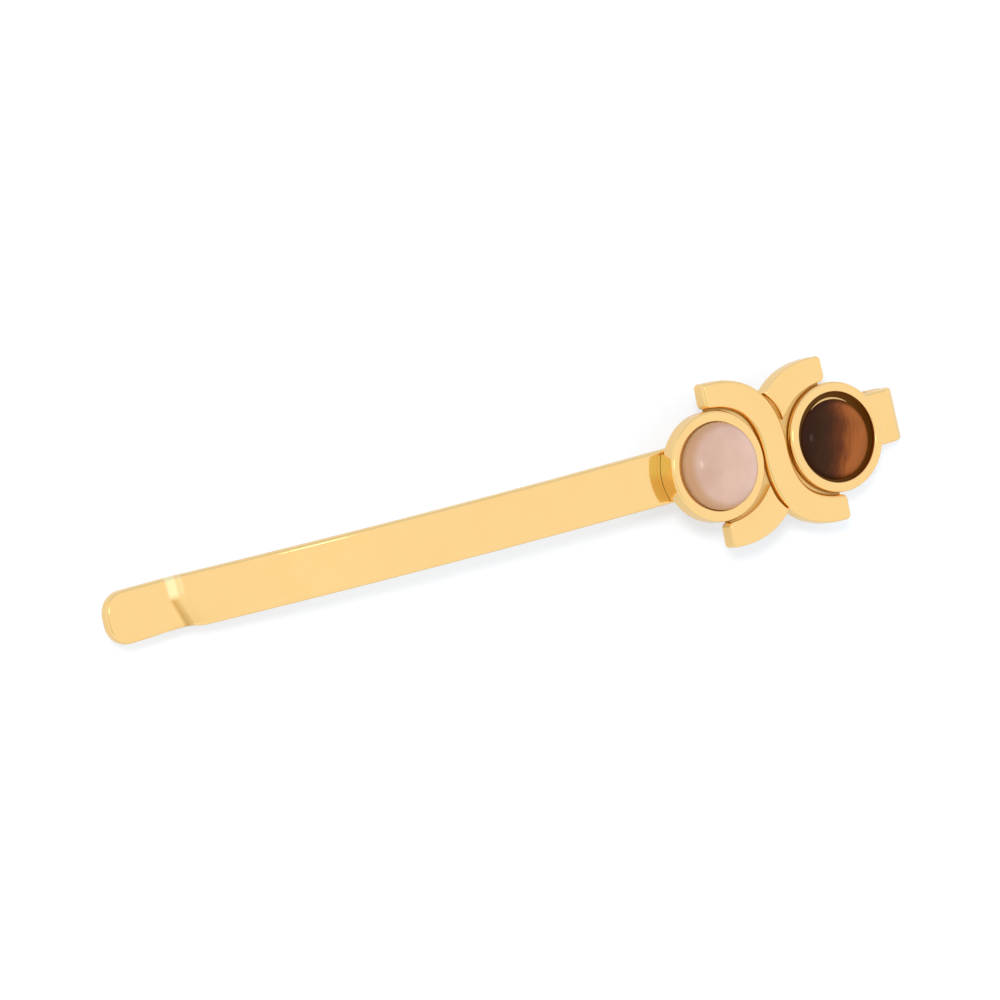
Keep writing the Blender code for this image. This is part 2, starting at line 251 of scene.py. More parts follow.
def hang_lamp(name, kind, towards, energy):
    data = bpy.data.lights.new(name, kind)
    data.energy = energy
    lamp = bpy.data.objects.new(name, data)
    lamp.rotation_euler = towards.to_track_quat("Z", "Y").to_euler()
    bpy.context.collection.objects.link(lamp)
    return lamp


key = hang_lamp("shadow_lamp", "SUN", KEY_FROM, KEY_STRENGTH)
key.data.angle = KEY_SOFTNESS
key.visible_glossy = False
spot_area = math.pi * (SPOT_WIDTH / 2) ** 2
spot = hang_lamp("highlight_lamp", "AREA", SPOT_FROM, SPOT_RADIANCE * math.pi * spot_area)
spot.location = centre + SPOT_FROM * SPOT_DISTANCE
spot.data.shape = "DISK"
spot.data.size = SPOT_WIDTH
spot.data.color = SPOT_COLOUR
print("lamps:", key.name, spot.name)

# %% [markdown]
# The floor is one large pale sheet at the height that the slide rests on. Its paint adds light of its
# own for the camera, so the sheet reads as clean white and still keeps the soft shadow. In the gold,
# the far half of the sheet is a little brighter than the near half, as when a second sheet is propped
# up on the far side. The slide lies on its lower leg, so the floor rides on that leg and stays under it
# when the slide is opened.

# %% Lay the floor
FLOOR_HALF = 3.0
FLOOR_COLOUR = (0.60, 0.61, 0.62, 1.0)
FLOOR_LIFT_COLOUR = (0.86, 0.92, 1.0, 1.0)
FLOOR_LIFT_FOR_CAMERA = 0.448
FLOOR_LIFT_FOR_GLOSS = (0.14, 0.22)
FLOOR_LIFT_FADE = (-6 * MM, 4 * MM)


def new_material(name, look):
    """A material whose shader has the look given: it comes with its node tree and its shader."""
    made = bpy.data.materials.new(name)
    made.use_nodes = True
    tree = made.node_tree
    shader = tree.nodes["Principled BSDF"]
    for socket, value in look.items():
        shader.inputs[socket].default_value = value
    return made, tree, shader


def floor_paint():
    look = {
        "Base Color": FLOOR_COLOUR,
        "Roughness": 0.9,
        "Specular IOR Level": 0.0,
        "Emission Color": FLOOR_LIFT_COLOUR,
    }
    made, tree, shader = new_material("floor_white", look)
    place = tree.nodes.new("ShaderNodeTexCoord").outputs["Object"]
    fade = map_range(tree, split_xyz(tree, place)["Y"], *FLOOR_LIFT_FADE, *FLOOR_LIFT_FOR_GLOSS)
    seen = tree.nodes.new("ShaderNodeLightPath").outputs
    direct = maths(tree, "MULTIPLY", seen["Is Camera Ray"], FLOOR_LIFT_FOR_CAMERA)
    lift = maths(tree, "MULTIPLY_ADD", seen["Is Glossy Ray"], fade, direct)
    feed(tree, shader.inputs["Emission Strength"], lift)
    return made


def make_floor():
    shape = bmesh.new()
    bmesh.ops.create_grid(shape, x_segments=1, y_segments=1, size=FLOOR_HALF)
    mesh = bpy.data.meshes.new("floor")
    shape.to_mesh(mesh)
    shape.free()
    mesh.materials.append(floor_paint())
    floor = bpy.data.objects.new("floor", mesh)
    bpy.context.collection.objects.link(floor)
    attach(floor, "lower_leg")
    return floor


floor = make_floor()
print("floor is", 2 * FLOOR_HALF, "m across")

# %% [markdown]
# Gold plate is a metal shader with a warm base colour. Under a lens the polish is never perfect: the
# buffing wheel leaves faint waves in the surface and very fine hairlines, and handling leaves the shine
# a little uneven. A slow noise drives the bump and a slight change of tone, and a fine stretched one
# drives the roughness, both on Object coordinates, so that they stay put on the piece. Where the buffing
# wheel can't reach, in the grooves, the plate is duller, and its colour is darker and browner as painted
# shade for the grooves' depth.

# %% Make the gold plate
GOLD_COLOUR = (0.985, 0.675, 0.288, 1.0)
GOLD_WARM = (0.97, 0.62, 0.235, 1.0)
# Painted shade: the grooves' gold is darker and browner than the polished plate.
GROOVE_SHADE_COLOUR = (0.80, 0.54, 0.225, 1.0)
GROOVE_SHADE_WARM = (0.73, 0.47, 0.18, 1.0)
POLISHED = (0.06, 0.13)
UNPOLISHED = (0.3, 0.45)
NOISE_SPAN = (0.3, 0.7)        # most of a noise lies between these
WAVE_SIZE = 2.2 * MM
WAVE_DEPTH = 0.03 * MM
WAVE_STRENGTH = 0.12
HAIRLINE_SIZE = 0.09 * MM


def noise(tree, place, size, detail=2.0, roughness=0.5):
    """A noise whose features are about as large as the size given."""
    made = tree.nodes.new("ShaderNodeTexNoise")
    sockets = ("Vector", "Scale", "Detail", "Roughness")
    for socket, given in zip(sockets, (place, 1 / size, detail, roughness)):
        feed(tree, made.inputs[socket], given)
    return made.outputs["Fac"]


def sway(tree, value, depth):
    """Spreads a noise evenly to both sides of nought, as far as the depth."""
    return map_range(tree, value, *NOISE_SPAN, -depth, depth)


def object_coordinates(tree, matrix, scale=(1, 1, 1)):
    """Object coordinates turned into a frame of the piece, and stretched by the scale."""
    turn = tree.nodes.new("ShaderNodeMapping")
    turn.vector_type = "POINT"
    inverse = matrix.inverted()
    turn.inputs["Rotation"].default_value = inverse.to_euler()
    turn.inputs["Location"].default_value = inverse.translation
    feed(tree, turn.inputs["Vector"], tree.nodes.new("ShaderNodeTexCoord").outputs["Object"])
    return vector_maths(tree, "MULTIPLY", turn.outputs["Vector"], scale)["Vector"]


def gold_plate(name, matrix, hairline_stretch, tones=(GOLD_COLOUR, GOLD_WARM), polish_range=POLISHED):
    """Gold plate whose hairlines run along the X of the matrix."""
    made, tree, shader = new_material(name, {"Metallic": 1.0})
    waves = noise(tree, object_coordinates(tree, matrix), WAVE_SIZE)
    tone = mix_colours(tree, map_range(tree, waves, 0.35, 0.75, 0.0, 0.35), *tones)
    feed(tree, shader.inputs["Base Color"], tone)

    drawn = object_coordinates(tree, matrix, (1 / hairline_stretch, 1, 1))
    hairlines = noise(tree, drawn, HAIRLINE_SIZE, detail=3.0)
    feed(tree, shader.inputs["Roughness"], map_range(tree, hairlines, 0.3, 0.75, *polish_range))

    buffed = tree.nodes.new("ShaderNodeBump")
    sockets = ("Strength", "Distance", "Height")
    for socket, given in zip(sockets, (WAVE_STRENGTH, WAVE_DEPTH, waves)):
        feed(tree, buffed.inputs[socket], given)
    feed(tree, shader.inputs["Normal"], buffed.outputs["Normal"])
    return made


bar_gold = gold_plate("gold_plate_bar", strip_frame, hairline_stretch=30)
spring_gold = gold_plate("gold_plate_spring", strip_frame, hairline_stretch=30)
ornament_gold = gold_plate("gold_plate_ornament", ornament_frame, hairline_stretch=4)
# Painted shade: this gold takes the darker, browner groove tones.
groove_shade_tones = (GROOVE_SHADE_COLOUR, GROOVE_SHADE_WARM)
painted_shade_gold = gold_plate("gold_plate_painted_shade", ornament_frame, 1, groove_shade_tones, UNPOLISHED)
print("gold:", bar_gold.name, spring_gold.name, ornament_gold.name, painted_shade_gold.name)

# %% [markdown]
# Most pieces have their sharp edges rounded by a bevel first. Every piece ends in the same way: its bmesh
# is moved from the frame that it was drawn in to its place, and it is made an object at the origin. A
# metal edge that is shaded smooth bends the reflections on the flat faces beside it, unless the flat faces
# lead, which Weighted Normal sees to.

# %% Helpers that round and finish a piece
SHARP = math.radians(35)
MERGE_DISTANCE = 0.0005 * MM
FLATS_WEIGHT = 100


def sharp_edges(shape):
    shape.normal_update()
    return [edge for edge in shape.edges if edge.is_manifold and edge.calc_face_angle() > SHARP]


def edges_to_round(shape, butt_face):
    """The sharp edges, apart from those of the face that butts against the next piece."""
    return [edge for edge in sharp_edges(shape) if edge not in set(butt_face.edges)]


def edges_above(edges, height):
    return [edge for edge in edges if min(vert.co.z for vert in edge.verts) > height]


def round_edges(shape, edges, radius, segments):
    bmesh.ops.bevel(
        shape,
        geom=edges,
        offset=radius,
        offset_type="OFFSET",
        segments=segments,
        profile=0.5,
        affect="EDGES",
        clamp_overlap=False,
        material=-1,
    )


def finish_piece(name, shape, matrix, body, material, slot, *replaced):
    bmesh.ops.remove_doubles(shape, verts=shape.verts, dist=MERGE_DISTANCE)
    bmesh.ops.recalc_face_normals(shape, faces=shape.faces)
    bmesh.ops.transform(shape, matrix=matrix, verts=shape.verts)
    mesh = bpy.data.meshes.new(name)
    shape.to_mesh(mesh)
    shape.free()
    mesh.shade_smooth()
    mesh.set_sharp_from_angle(angle=SHARP)
    mesh.materials.append(material)
    piece = bpy.data.objects.new(name, mesh)
    bpy.context.collection.objects.link(piece)
    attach(piece, body)
    if replaced:
        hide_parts(*replaced)
    return piece


def lead_with_flats(piece):
    """Lets the large faces set the normals of the corners that they share with small ones."""
    weighted = piece.modifiers.new("flats_lead", "WEIGHTED_NORMAL")
    weighted.weight = FLATS_WEIGHT
    weighted.keep_sharp = True


# %% [markdown]
# Both legs and all the bands are sweeps: a flat section is carried along a route, and each step is an
# extrusion followed by a move. A curve with a bevel would do it too, but a bmesh keeps the two end faces
# at hand for the rounding. A route is a list of matrices, one for each place where the section stops. A
# matrix may also stretch the section, which is how a band swells and how an arm spreads.

# %% A section and a sweep
NEARLY_PARALLEL = 0.9


def section_face(shape, matrix):
    """A square one unit wide and high, standing across the X of the matrix, centred on it."""
    made = bmesh.ops.create_grid(shape, x_segments=1, y_segments=1, size=0.5)
    stand = Matrix.Rotation(math.pi / 2, 4, "Y")
    bmesh.ops.transform(shape, matrix=matrix @ stand, verts=made["verts"])
    return made["verts"][0].link_faces[0]


def sweep(shape, stations):
    """Carries a section along the stations and returns its first face and its last."""
    first = face = section_face(shape, stations[0])
    for before, after in zip(stations, stations[1:]):
        raised = bmesh.ops.extrude_face_region(shape, geom=[face])["geom"]
        verts = [item for item in raised if isinstance(item, bmesh.types.BMVert)]
        bmesh.ops.transform(shape, matrix=after @ before.inverted(), verts=verts)
        if face is not first:
            bmesh.ops.delete(shape, geom=[face], context="FACES_ONLY")
        face = next(item for item in raised if isinstance(item, bmesh.types.BMFace))
    return first, face


def upright_edges(face, up):
    """The two edges of an end face that run along its height."""
    found = []
    for edge in face.edges:
        run = (edge.verts[1].co - edge.verts[0].co).normalized()
        if abs(run.dot(up)) > NEARLY_PARALLEL:
            found.append(edge)
    return found


# %% [markdown]
# The upper leg starts under the fold, goes round it, runs level under the ornament and then arches down
# to a crease, past which the tip flares up again so that hair slips in. Its stations come from a walk
# of straights and bends. Where it is creased one edge is drawn in a little.

# %% Route of the upper leg
TOP_WIDTH = 3.29 * MM
FOLD_FROM_CENTRE = 9.25 * MM
FLAT_LENGTH = 21.3 * MM
ARCH_RADIUS = 80.0 * MM
ARCH_ANGLE = math.radians(20.0)
NEAR_CREASE = 3.0 * MM
CREASE_RADIUS = 1.6 * MM
FLARE_ANGLE = math.radians(18.7)
FLARE_LENGTH = 5.0 * MM
TIP_CORNER = 1.42 * MM
CREASE_LENGTH = 1.04 * MM
CREASE_EXTRA = (CREASE_LENGTH - CREASE_RADIUS * FLARE_ANGLE) / 2
CREASE_SHIFT = 0.42 * MM
PAST_CREASE = 1.5 * MM
EDGE_PULL = 0.18 * MM
EDGE_PULL_PEAK = 0.1 * MM
EDGE_PULL_FADE = 1.2 * MM
BAR_EDGE = 0.24 * MM
FOLD_RADIUS = (STRIP_THICKNESS + FOLD_GAP) / 2
ARCH_MIDDLE_RADIUS = ARCH_RADIUS - STRIP_THICKNESS / 2


def walk(start, heading, moves):
    """Points and headings in XZ along bends and straights: heading 0 runs to -X, a positive one down."""
    point = Vector(start)
    found = [(point.copy(), heading)]
    for length, turn, steps in moves:
        half = turn / steps / 2
        chord = length / steps * (math.sin(half) / half if half else 1.0)
        for _ in range(steps):
            heading += half
            point = point + chord * Vector((-math.cos(heading), -math.sin(heading)))
            heading += half
            found.append((point.copy(), heading))
    return found


def leg_station(point, heading, width, pull=0.0):
    """A section of a leg: pull draws its -Y edge in."""
    place = Matrix.Translation((point.x, 0, point.y)) @ Matrix.Rotation(-heading, 4, "Y")
    size = Matrix.Diagonal((1, width - pull, STRIP_THICKNESS, 1))
    return place @ Matrix.Translation((0, pull / 2, 0)) @ size


def hump(at, low, top, high):
    """Rises smoothly from nought at low to one at top, and falls to nought again at high."""
    share = (at - low) / (top - low) if at < top else (high - at) / (high - top)
    share = min(max(share, 0.0), 1.0)
    return share * share * (3 - 2 * share)


arch_length = ARCH_MIDDLE_RADIUS * ARCH_ANGLE - CREASE_EXTRA + CREASE_SHIFT
near_share = NEAR_CREASE / arch_length
fold_foot = Vector((FOLD_FROM_CENTRE, -STRIP_THICKNESS / 2 - 2 * FOLD_RADIUS))
top_moves = [
    # length, turn, steps
    (math.pi * FOLD_RADIUS, math.pi, 40),
    (FLAT_LENGTH, 0.0, 4),
    (arch_length - NEAR_CREASE, ARCH_ANGLE * (1 - near_share), 50),
    (NEAR_CREASE, ARCH_ANGLE * near_share, 20),
    (CREASE_LENGTH, -FLARE_ANGLE, 26),
    (PAST_CREASE, 0.0, 10),
    (FLARE_LENGTH - CREASE_SHIFT - CREASE_EXTRA - PAST_CREASE, 0.0, 1),
]
crease_at = sum(length for length, turn, steps in top_moves[:4])
top_distances = [0.0]
for length, _, steps in top_moves:
    top_distances += [top_distances[-1] + length * (step + 1) / steps for step in range(steps)]
top_stations = []
for (point, heading), distance in zip(walk(fold_foot, -math.pi, top_moves), top_distances):
    past = distance - crease_at
    pull = EDGE_PULL * hump(past, -EDGE_PULL_FADE, EDGE_PULL_PEAK, FLARE_LENGTH)
    top_stations.append(leg_station(point, heading, TOP_WIDTH, pull))
print("upper leg:", len(top_stations), "stations")

# %% [markdown]
# The crease carries painted light on the plate: a brownish line of painted shade runs along it, at its far
# end a pale patch is a painted highlight, and the polish is duller all along. Each mark is a ramp over the
# distance from the crease's line, in the frame of the strip, so it needs no picture.

# %% Paint light and shade at the crease
MARK_REACH = 0.7 * MM
# Painted shade: the brownish line along the crease.
CREASE_SHADE_BROWN = (0.67, 0.41, 0.125, 1.0)
# Painted highlight: the pale patch at the crease's far end.
CREASE_HIGHLIGHT_PALE = (0.99, 0.87, 0.49, 1.0)
CREASE_SHADE_PROFILE = [(-0.35, 0.0), (-0.10, 1.0), (0.08, 0.7), (0.20, 0.5), (0.34, 0.0)]
CREASE_HIGHLIGHT_PROFILE = [(-0.48, 0.0), (-0.25, 1.0), (0.20, 0.9), (0.32, 0.25), (0.50, 0.5), (0.69, 0.0)]
DULL_PROFILE = [(-0.69, 0.0), (-0.50, 1.0), (0.45, 1.0), (0.69, 0.0)]
CREASE_DULLNESS = 0.36
PAINTED_CREASE_LIGHT = [
    # degrees off square, profile, colour, from where to where across the strip it comes in
    (19, CREASE_SHADE_PROFILE, CREASE_SHADE_BROWN, (0.45 * MM, 0.15 * MM)),
    (2, CREASE_HIGHLIGHT_PROFILE, CREASE_HIGHLIGHT_PALE, (0.25 * MM, 0.60 * MM)),
]


def colour_ramp(tree, value, stops):
    """A ramp through pairs of position and colour."""
    made = tree.nodes.new("ShaderNodeValToRGB")
    elements = made.color_ramp.elements
    while len(elements) < len(stops):
        elements.new(0.5)
    for element, (position, colour) in zip(elements, stops):
        element.position = position
        element.color = colour
    feed(tree, made.inputs["Fac"], value)
    return made.outputs["Color"]


def strength_ramp(tree, value, profile):
    """A ramp from pairs of distance in mm and strength, over the reach of the mark."""
    stops = [
        ((distance * MM + MARK_REACH) / (2 * MARK_REACH), (strength, strength, strength, 1.0))
        for distance, strength in profile
    ]
    return colour_ramp(tree, value, stops)


def paint_crease_light(material, crease_x):
    """Lays the painted shade and the painted highlight over the plate's colour and dulls its polish."""
    tree = material.node_tree
    shader = tree.nodes["Principled BSDF"]
    base, rough = shader.inputs["Base Color"], shader.inputs["Roughness"]
    place = split_xyz(tree, object_coordinates(tree, strip_frame))
    reach = (crease_x - MARK_REACH, crease_x + MARK_REACH, 0.0, 1.0)
    colour = base.links[0].from_socket
    for degrees, profile, tint, fade in PAINTED_CREASE_LIGHT:
        slope = math.tan(math.radians(degrees))
        past_line = maths(tree, "MULTIPLY_ADD", place["Y"], slope, place["X"])
        strength = strength_ramp(tree, map_range(tree, past_line, *reach), profile)
        side = map_range(tree, place["Y"], *fade, 0.0, 1.0)
        colour = mix_colours(tree, maths(tree, "MULTIPLY", strength, side), colour, tint)
    feed(tree, base, colour)
    dull = strength_ramp(tree, map_range(tree, place["X"], *reach), DULL_PROFILE)
    worn = maths(tree, "MULTIPLY_ADD", dull, CREASE_DULLNESS, rough.links[0].from_socket)
    feed(tree, rough, worn)


to_crease = [abs(distance - crease_at - CREASE_LENGTH / 2) for distance in top_distances]
crease_x = top_stations[to_crease.index(min(to_crease))].translation.x
paint_crease_light(bar_gold, crease_x)
print("crease at", round(crease_x / MM, 2), "mm along the strip")

# %% [markdown]
# The leg is one sweep along its stations. The two upright edges at the tip are rounded first, which
# gives the tip its outline, and then every sharp edge is, as on a stamped and tumbled strip. The foot
# stays square, because the lower leg butts against it.

# %% Model the upper leg
def make_top_leg():
    shape = bmesh.new()
    foot, tip = sweep(shape, top_stations)
    up = top_stations[-1].to_3x3() @ Vector((0, 0, 1))
    round_edges(shape, upright_edges(tip, up.normalized()), TIP_CORNER, segments=14)
    round_edges(shape, edges_to_round(shape, foot), BAR_EDGE, segments=5)
    piece = finish_piece(
        "top_leg_strip", shape, strip_frame, "slide", bar_gold, "gold_plate", "top_leg"
    )
    lead_with_flats(piece)
    return piece


top_leg = make_top_leg()
print("upper leg has", len(top_leg.data.polygons), "faces")

# %% [markdown]
# The lower leg is hidden in the picture, and shows from the side and from below. Such legs are crimped
# into waves so that the hair can't slide out, pinch at the open end, and turn down at the tip. It
# follows the upper leg at a clear gap that a short formula gives, and it rides on its own body, because
# it swings open at the fold. The real strip bends there, so the cut between the two legs is kept as
# fine as the swing allows.

# %% Route of the lower leg
SPRING_WIDTH = 2.8 * MM
HINGE_GAP = 0.07 * MM
PINCH_GAP = 0.3 * MM
CRIMP_DEPTH = 0.42 * MM
CRIMP_LENGTH = 6.4 * MM
CRIMP_COUNT = 5
CRIMP_START = 7.5 * MM
PINCH_LENGTH = 7.0 * MM
SPRING_FLARE_ANGLE = math.radians(14.0)
SPRING_FLARE_LENGTH = 2.4 * MM
SPRING_TIP_CORNER = 0.95 * MM
LEG_LENGTH = FLAT_LENGTH + ARCH_MIDDLE_RADIUS * ARCH_ANGLE
SPRING_FLAT_STEPS = 66
SPRING_ARCH_STEPS = 88


def leg_gap(distance):
    if CRIMP_START < distance < CRIMP_START + CRIMP_COUNT * CRIMP_LENGTH:
        phase = 2 * math.pi * (distance - CRIMP_START) / CRIMP_LENGTH
        return FOLD_GAP - CRIMP_DEPTH * (1 - math.cos(phase)) / 2
    near_end = min(max((distance - LEG_LENGTH) / PINCH_LENGTH + 1, 0.0), 1.0)
    return FOLD_GAP + (PINCH_GAP - FOLD_GAP) * near_end * near_end * (3 - 2 * near_end)


def spring_walk():
    above = walk(
        (FOLD_FROM_CENTRE, -STRIP_THICKNESS / 2),
        0.0,
        [
            (FLAT_LENGTH, 0.0, SPRING_FLAT_STEPS),
            (ARCH_MIDDLE_RADIUS * ARCH_ANGLE, ARCH_ANGLE, SPRING_ARCH_STEPS),
        ],
    )
    points = []
    for index, (point, heading) in enumerate(above):
        on_flat = min(index / SPRING_FLAT_STEPS, 1.0)
        distance = FLAT_LENGTH * on_flat + ARCH_MIDDLE_RADIUS * heading
        drop = STRIP_THICKNESS + leg_gap(distance)
        points.append(point + drop * Vector((math.sin(heading), -math.cos(heading))))
    points[0] += Vector((-HINGE_GAP, 0))
    headings = []
    for index in range(len(points)):
        run = points[min(index + 1, len(points) - 1)] - points[max(index - 1, 0)]
        headings.append(math.atan2(-run.y, -run.x))
    headings[0] = 0.0
    end = walk(
        points[-1],
        ARCH_ANGLE,
        [
            (CREASE_RADIUS * SPRING_FLARE_ANGLE, SPRING_FLARE_ANGLE, 8),
            (SPRING_FLARE_LENGTH, 0.0, 1),
        ],
    )
    headings[-1] = ARCH_ANGLE
    return list(zip(points, headings)) + end[1:]


def make_spring_leg():
    shape = bmesh.new()
    stations = [leg_station(point, heading, SPRING_WIDTH) for point, heading in spring_walk()]
    foot, tip = sweep(shape, stations)
    up = stations[-1].to_3x3() @ Vector((0, 0, 1))
    round_edges(shape, upright_edges(tip, up.normalized()), SPRING_TIP_CORNER, segments=10)
    round_edges(shape, edges_to_round(shape, foot), BAR_EDGE, segments=5)
    piece = finish_piece(
        "spring_leg_strip", shape, strip_frame, "lower_leg", spring_gold, "gold_plate", "spring_leg"
    )
    lead_with_flats(piece)
    return piece


spring_leg = make_spring_leg()
print("lower leg has", len(spring_leg.data.polygons), "faces")

# %% [markdown]
# The backing plate is a flat stamping that shows from behind and at its edge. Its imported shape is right
# as it is, so it keeps it and only takes the gold.

# %% Finish the backing plate
plate = frame["nodes"]["back_plate"]
plate.data.materials.clear()
plate.data.materials.append(ornament_gold)
print("plate keeps its", len(plate.data.polygons), "faces")

# %% [markdown]
# A collar is a short round wall that holds its stone. It is turned: a narrow section stands beside the
# axis, one full spin closes it into a ring, and the rim is rounded as a burnisher leaves it. A cylinder
# with a hole cut out would do too, but a spin leaves an even mesh for the bevel. The two edges of the
# rim have radii of their own, so each is found by its distance from the axis.

# %% Model the collars
COLLAR_RADIUS = 3.35 * MM
PINK_WALL = 0.69 * MM
BROWN_WALL = 0.60 * MM
COLLAR_HEIGHT = 1.0 * MM
RIM_ROUND_OUTSIDE = 0.17 * MM
RIM_ROUND_INSIDE = 0.08 * MM
ON_CIRCLE = 0.005 * MM
TURN_STEPS = 160


def turned_ring(shape, inner, outer, foot, top):
    """Spins a standing section in XZ once round the Z axis."""
    made = bmesh.ops.create_grid(shape, x_segments=1, y_segments=1, size=0.5)["verts"]
    stand = Matrix.Rotation(math.pi / 2, 4, "X")
    size = Matrix.Diagonal((outer - inner, 1, top - foot, 1))
    place = Matrix.Translation(((inner + outer) / 2, 0, (foot + top) / 2))
    bmesh.ops.transform(shape, matrix=place @ size @ stand, verts=made)
    face = made[0].link_faces[0]
    edges = list(face.edges)
    bmesh.ops.delete(shape, geom=[face], context="FACES_ONLY")
    bmesh.ops.spin(
        shape,
        geom=made + edges,
        cent=(0, 0, 0),
        axis=(0, 0, 1),
        angle=2 * math.pi,
        steps=TURN_STEPS,
        use_merge=True,
    )


def rim_edges(shape, radius):
    """The sharp edges at the top of a turned wall, on the circle of that radius round the Z axis."""
    high = edges_above(sharp_edges(shape), FOOT + COLLAR_HEIGHT / 2)
    return [
        edge
        for edge in high
        if all(abs(vert.co.xy.length - radius) < ON_CIRCLE for vert in edge.verts)
    ]


def make_collar(name, across, wall, replaced):
    shape = bmesh.new()
    turned_ring(shape, COLLAR_RADIUS - wall, COLLAR_RADIUS, FOOT, FOOT + COLLAR_HEIGHT)
    bmesh.ops.recalc_face_normals(shape, faces=shape.faces)
    round_edges(shape, rim_edges(shape, COLLAR_RADIUS), RIM_ROUND_OUTSIDE, segments=6)
    round_edges(shape, rim_edges(shape, COLLAR_RADIUS - wall), RIM_ROUND_INSIDE, segments=5)
    place = ornament_frame @ Matrix.Translation((across, 0, 0))
    piece = finish_piece(name, shape, place, "slide", ornament_gold, "gold_plate", replaced)
    lead_with_flats(piece)
    return piece


pink_centre = Vector((-STONE_PITCH / 2, 0, 0))
brown_centre = Vector((STONE_PITCH / 2, 0, 0))
pink_collar = make_collar("pink_collar_wall", pink_centre.x, PINK_WALL, "pink_collar")
brown_collar = make_collar("brown_collar_wall", brown_centre.x, BROWN_WALL, "brown_collar")
print("collars have", len(pink_collar.data.polygons), "and", len(brown_collar.data.polygons), "faces")

# %% [markdown]
# A Boolean cuts one solid with another. It is a modifier and works on objects, so both shapes are lent
# to a pair of throw-away objects, and the mesh that comes out is read back. Points that fall almost
# together where the two surfaces meet are merged.

# %% Take one shape out of another
TRIM_MERGE = 0.002 * MM


def subtract(shape, cutter):
    """What a Boolean leaves of the shape without the cutter: both bmeshes are used up."""
    pair = []
    for solid in (shape, cutter):
        bmesh.ops.recalc_face_normals(solid, faces=solid.faces)
        mesh = bpy.data.meshes.new("trimming")
        solid.to_mesh(mesh)
        solid.free()
        pair.append(bpy.data.objects.new("trimming", mesh))
        bpy.context.collection.objects.link(pair[-1])
    trim = pair[0].modifiers.new("trim", "BOOLEAN")
    trim.operation = "DIFFERENCE"
    trim.object = pair[1]
    bpy.context.view_layer.update()
    seen = pair[0].evaluated_get(bpy.context.evaluated_depsgraph_get())
    left = bmesh.new()
    left.from_mesh(seen.to_mesh())
    seen.to_mesh_clear()
    for item in pair:
        bpy.data.objects.remove(item)
    bmesh.ops.remove_doubles(left, verts=left.verts, dist=TRIM_MERGE)
    return left


# %% [markdown]
# A little solder joins each collar to the strip below it, and no more than the strip is wide. The brown
# stone is a little small for its collar and sits low in it: it lies on a seat painted dark, as painted
# shade in the gap round the stone, and on its far side a fine crescent of bright lip shows. All four are
# turned rings with square edges, because next to nothing of them is seen.

# %% Add the solder, the seat painted with shade and the bright lip
SOLDER_GAP = 0.03 * MM
SOLDER_REACH = 1.40 * MM
SOLDER_INSET = 0.01 * MM
UNDER_COLLAR = 0.3 * MM
# Painted shade: the seat's very dark gold stands for the shade in the gap round the brown stone.
SEAT_SHADE_GOLD = (0.11, 0.045, 0.010, 1.0)
SEAT_INNER = 2.2 * MM
SEAT_TOP = FOOT + 0.50 * MM
LIP_RADIUS = 2.01 * MM
LIP_WIDTH = 0.21 * MM
LIP_SHIFT = Vector((0.11, 0.395, 0)) * MM
LIP_TOP = FOOT + 0.56 * MM


def make_ring(name, centre, inner, outer, foot, top, material, reach=None):
    """A ring inside or under a collar, cut off at the given reach from the strip's middle line."""
    shape = bmesh.new()
    turned_ring(shape, inner, outer, foot, top)
    for side in (-1, 1) if reach else ():
        block = bmesh.new()
        bmesh.ops.create_cube(block, size=3 * COLLAR_RADIUS)
        bmesh.ops.translate(block, vec=(0, side * (reach + 1.5 * COLLAR_RADIUS), 0), verts=block.verts)
        shape = subtract(shape, block)
    place = ornament_frame @ Matrix.Translation(centre)
    return finish_piece(name, shape, place, "slide", material, "gold_plate")


# Painted shade: a very dark gold for the seat in the shaded gap.
seat_shade_gold = gold_plate("gold_plate_seat_shade", ornament_frame, 2, (SEAT_SHADE_GOLD, SEAT_SHADE_GOLD), UNPOLISHED)
solder_walls = (COLLAR_RADIUS - UNDER_COLLAR, COLLAR_RADIUS - SOLDER_INSET)
make_ring("pink_solder", pink_centre, *solder_walls, SOLDER_GAP, FOOT, ornament_gold, SOLDER_REACH)
make_ring("brown_solder", brown_centre, *solder_walls, SOLDER_GAP, FOOT, ornament_gold, SOLDER_REACH)
seat_walls = (SEAT_INNER, COLLAR_RADIUS - BROWN_WALL + SEAM)
brown_seat = make_ring("brown_seat", brown_centre, *seat_walls, FOOT, SEAT_TOP, seat_shade_gold)
lip_walls = (LIP_RADIUS - LIP_WIDTH, LIP_RADIUS)
brown_lip = make_ring("brown_lip", brown_centre + LIP_SHIFT, *lip_walls, FOOT, LIP_TOP, painted_shade_gold)
print("seat and lip have", len(brown_seat.data.polygons), "and", len(brown_lip.data.polygons), "faces")

# %% [markdown]
# A cabochon is a domed stone with a flat back and a short upright edge. It starts as a sphere,
# flattened to the height of its dome and cut through the middle. The open rim is drawn down for the
# edge, and the back is closed.

# %% A cabochon
STONE_SLACK = 0.01 * MM
STONE_FOOT_ROUND = 0.08 * MM
CUT_TOLERANCE = 0.0001 * MM


